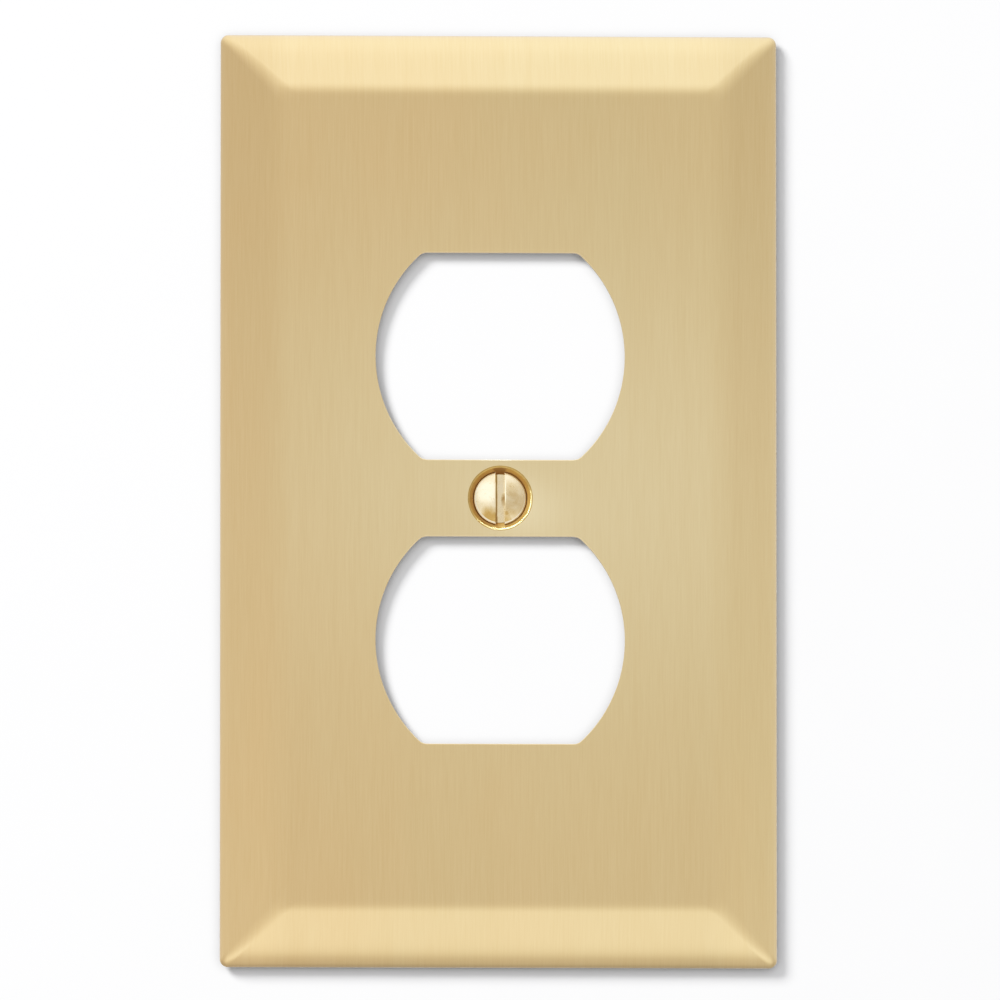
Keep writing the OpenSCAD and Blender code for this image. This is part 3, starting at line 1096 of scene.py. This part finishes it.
def make_backdrop():
    """A white wall behind the plate, with a pad standing forward in each opening."""
    corners = ((-1, -1), (1, -1), (1, 1), (-1, 1))
    outlines = [[(sx * WALL_HALF, WALL_Y, sz * WALL_HALF) for sx, sz in corners]]
    around = [opening_at(2 * math.pi * i / 160) for i in range(160)]
    for side in (-1, 1):
        outline = []
        for x, z, nx, nz in around:
            z = side * PITCH / 2 + (z + nz * PAD_MARGIN)
            # the pads stop short of the screw
            z = side * max(side * z, PAD_INNER_Z)
            outline.append((x + nx * PAD_MARGIN, PAD_Y, z))
        outlines.append(outline)
    bm = bmesh.new()
    for outline in outlines:
        bm.faces.new([bm.verts.new(Vector(p) * MM) for p in outline])
    mesh = bpy.data.meshes.new("backdrop")
    bm.to_mesh(mesh)
    bm.free()
    obj = new_object("backdrop", mesh)
    mesh.materials.append(backdrop_white())
    for face in mesh.polygons:
        if face.normal.y > 0:
            face.flip()
    mesh.update()
    obj.visible_shadow = False
    obj.visible_glossy = False
    return obj


wall = make_backdrop()

# ---------------------------------------------------------------- lights, metres


def add_light(data, location, target, receiver, through=False):
    """A light on one object only; with `through`, nothing else stands in its way."""
    obj = new_object(data.name, data)
    obj.location = location
    obj.rotation_mode = "QUATERNION"
    obj.rotation_quaternion = (Vector(target) - obj.location).to_track_quat("-Z", "Y")
    obj.visible_camera = False
    lit = bpy.data.collections.new(obj.name + "_receivers")
    lit.objects.link(receiver)
    obj.light_linking.receiver_collection = lit
    if through:
        obj.light_linking.blocker_collection = lit


def area(name, location, size, power, receiver, target=(0, 0, 0), color=(1, 1, 1), through=False):
    data = bpy.data.lights.new(name, "AREA")
    data.energy, data.color = power, color
    data.shape, data.size = "DISK", size
    add_light(data, location, target, receiver, through)


# the wall: a wide soft light from the front and a smaller one from the upper left
area("wall_soft", (0.10, -3.60, -0.10), size=4.80, power=100.0, receiver=wall)
area("wall_key", (-1.044, -1.44, 0.90), size=0.72, power=33.0, receiver=wall)
# the washer: one light from behind and one from low in front, through the plate
area("washer_fill", (-1.3, 1.5, 1.2), size=2.2, power=34.0, receiver=washer)
area("washer_low_fill", (0.9, -1.3, -0.9), size=2.4, power=26.0, receiver=washer, through=True)
# cards on the left, reflected in the left half of the screw's crown
HEAD_AIM = (0, -0.006, 0)
area(
    "screw_card", (-0.242, -0.4145, 0.160), size=0.46, power=0.40, receiver=screw,
    target=HEAD_AIM, color=(0.80, 0.90, 1.0),
)
area(
    "screw_low_card", (-0.260, -0.4145, -0.060), size=0.50, power=0.10, receiver=screw,
    target=HEAD_AIM, color=(0.95, 0.97, 1.0),
)

# A fan of narrow spots from the upper right over the top to the left; each catches its own
# stretch of the countersink's far lip
SPOT_DISTANCE, SPOT_POWER = 0.5, 1.9
# degrees from +X towards +Z, share of the power
FAN = (
    (58, 0.35), (76, 0.75), (94, 1.0), (112, 1.0),
    (130, 1.0), (148, 1.0), (166, 0.8), (183, 0.4),
)
# degrees off the screw axis, share of the power
TILTS = ((46, 0.6), (64, 1.0), (82, 1.0))
for azimuth, share in FAN:
    way_x, way_z = math.cos(math.radians(azimuth)), math.sin(math.radians(azimuth))
    for tilt, level in TILTS:
        spot = bpy.data.lights.new(f"seat_spot_{azimuth}_{tilt}", "SPOT")
        spot.energy = SPOT_POWER * share * level
        spot.color = (0.62, 0.78, 1.0)
        spot.shadow_soft_size = 0.002
        spot.spot_size, spot.spot_blend = math.radians(0.36), 0.9
        aside = SPOT_DISTANCE * math.sin(math.radians(tilt))
        spot_y = HEAD_AIM[1] - SPOT_DISTANCE * math.cos(math.radians(tilt))
        lip = (-way_x * SEAT_R * MM, HEAD_AIM[1], -way_z * SEAT_R * MM)
        add_light(spot, (way_x * aside, spot_y, way_z * aside), lip, plate)


# ---------------------------------------------------------------- world

# Brightness of the sky from straight down (0) to straight up (1)
FRONT_SKY = (
    (0.0, 0.66), (0.045, 0.86), (0.115, 1.29), (0.20, 1.12), (0.33, 0.80),
    (0.55, 0.77), (0.70, 0.80), (0.84, 1.15), (0.945, 1.43), (1.0, 1.45),
)
REAR_SKY = (
    (0.0, 0.74), (0.08, 0.54), (0.20, 0.44), (0.32, 0.54), (0.42, 0.78),
    (0.55, 0.82), (0.74, 0.98), (0.88, 1.32), (1.0, 1.40),
)
SKY_STRENGTH = 2.0


def sky_ramp(g, up, stops):
    node = g.node("ShaderNodeValToRGB", slots={0: g.ramp(up, -1.0, 1.0)})
    node.color_ramp.interpolation = "B_SPLINE"
    elements = node.color_ramp.elements
    while len(elements) > 1:
        elements.remove(elements[-1])
    elements[0].position = stops[0][0]
    for i, (position, value) in enumerate(stops):
        element = elements.new(position) if i else elements[0]
        element.color = (value / SKY_STRENGTH,) * 3 + (1,)
    return node.outputs[0]


def make_world():
    world = bpy.data.worlds.new("studio")
    bpy.context.scene.world = world
    world.use_nodes = True
    g = Graph(world.node_tree)
    _, away, up = g.split(g.node("ShaderNodeTexCoord").outputs["Generated"])
    front, rear = sky_ramp(g, up, FRONT_SKY), sky_ramp(g, up, REAR_SKY)
    colour = g.mix(g.ramp(away, -0.25, 0.30), front, rear)
    path = g.node("ShaderNodeLightPath").outputs

    def background(color, strength=1.0):
        return g.node("ShaderNodeBackground", Color=color, Strength=strength)

    def switch(factor, first, second):
        return g.node("ShaderNodeMixShader", slots={0: factor, 1: first, 2: second})

    sky = background(colour, SKY_STRENGTH)
    plain = background((0.93, 0.93, 0.94, 1))
    dim = background((0.100, 0.103, 0.108, 1))
    # a diffuse bounce sees only a dim sky, so that the lamps alone shape the wall's shadows
    bounced = g.math("MINIMUM", path["Diffuse Depth"], 1.0)
    lit = switch(bounced, sky, dim)
    g.node("ShaderNodeOutputWorld", Surface=switch(path["Is Camera Ray"], lit, plain))
    world.cycles.sampling_method = "NONE"


make_world()

# ---------------------------------------------------------------- tone curve and camera

# A photographic shoulder and toe: scene value, shown value
TONE_WHITE = 1.25
TONE_POINTS = (
    (0.10, 0.062), (0.20, 0.153), (0.30, 0.2645), (0.45, 0.437),
    (0.60, 0.60), (0.80, 0.782), (1.0, 0.925), (1.15, 0.995),
)

scene = bpy.context.scene
view = scene.view_settings
view.view_transform = "Standard"
view.look = "None"
view.use_curve_mapping = True
mapping = view.curve_mapping
mapping.white_level = (TONE_WHITE,) * 3
points = mapping.curves[3].points
for value, shown in TONE_POINTS:
    points.new(value / TONE_WHITE, shown)
points[0].location = (0.0, 0.0)
points[len(points) - 1].location = (1.0, 1.0)
mapping.update()

CAMERA_DISTANCE = 3.0
AZIMUTH, ELEVATION = math.radians(-2.5), math.radians(-4.5)

camera_data = bpy.data.cameras.new("camera")
camera_data.sensor_width = 36.0
camera_data.lens = 790.56
camera_data.clip_start, camera_data.clip_end = 0.05, 50.0
camera = new_object("camera", camera_data)
scene.camera = camera
to_camera = Vector(
    (
        math.sin(AZIMUTH) * math.cos(ELEVATION),
        -math.cos(AZIMUTH) * math.cos(ELEVATION),
        math.sin(ELEVATION),
    )
)
aim = Vector((-0.00004, -RISE * MM, -0.00028))
camera.rotation_mode = "QUATERNION"
camera.rotation_quaternion = (-to_camera).to_track_quat("-Z", "Y")
camera.location = aim + to_camera * CAMERA_DISTANCE
